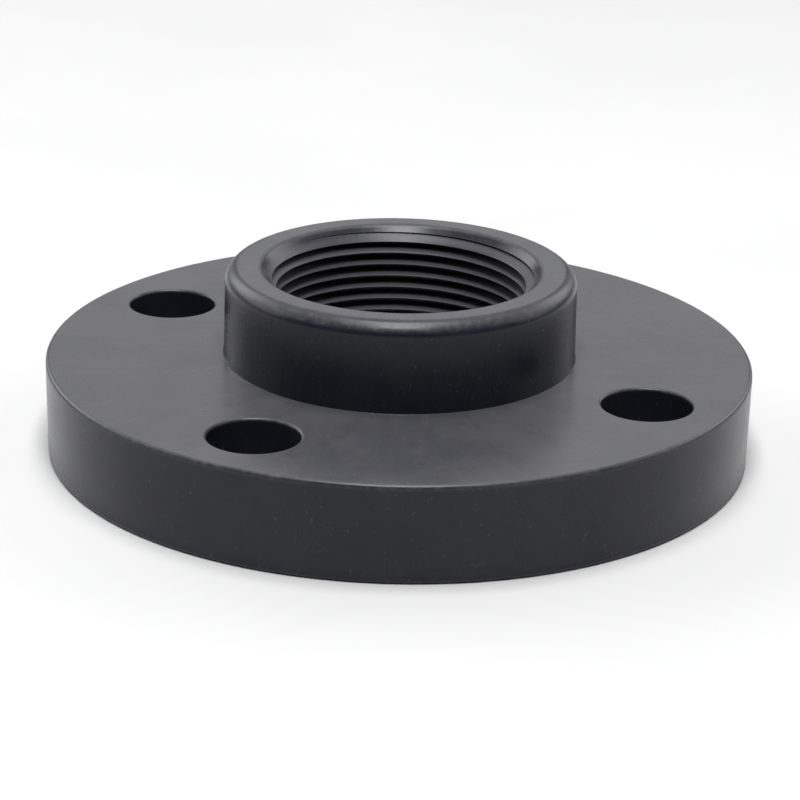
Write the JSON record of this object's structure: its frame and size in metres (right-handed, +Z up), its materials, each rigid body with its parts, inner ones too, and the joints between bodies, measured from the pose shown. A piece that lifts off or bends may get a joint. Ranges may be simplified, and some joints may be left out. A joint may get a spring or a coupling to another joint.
{
  "type": "threaded flange",
  "caption": "Round plastic pipe flange with a raised hub, a tapered female pipe thread through its centre and bolt holes round a flat mating face.",
  "frame": {"origin": "centre of the bore on the flat mating face, which the flange rests on", "axes": "+Z up the bore, from the mating face to the mouth of the thread; the bolt holes lie midway between the X and Y axes"},
  "size_m": [0.127, 0.127, 0.0337],
  "materials": {
    "grey_pvc": "dark grey moulded plastic with a satin skin"
  },
  "bodies": {
    "root": {"flange": "grey_pvc"}
  },
  "joints": []
}
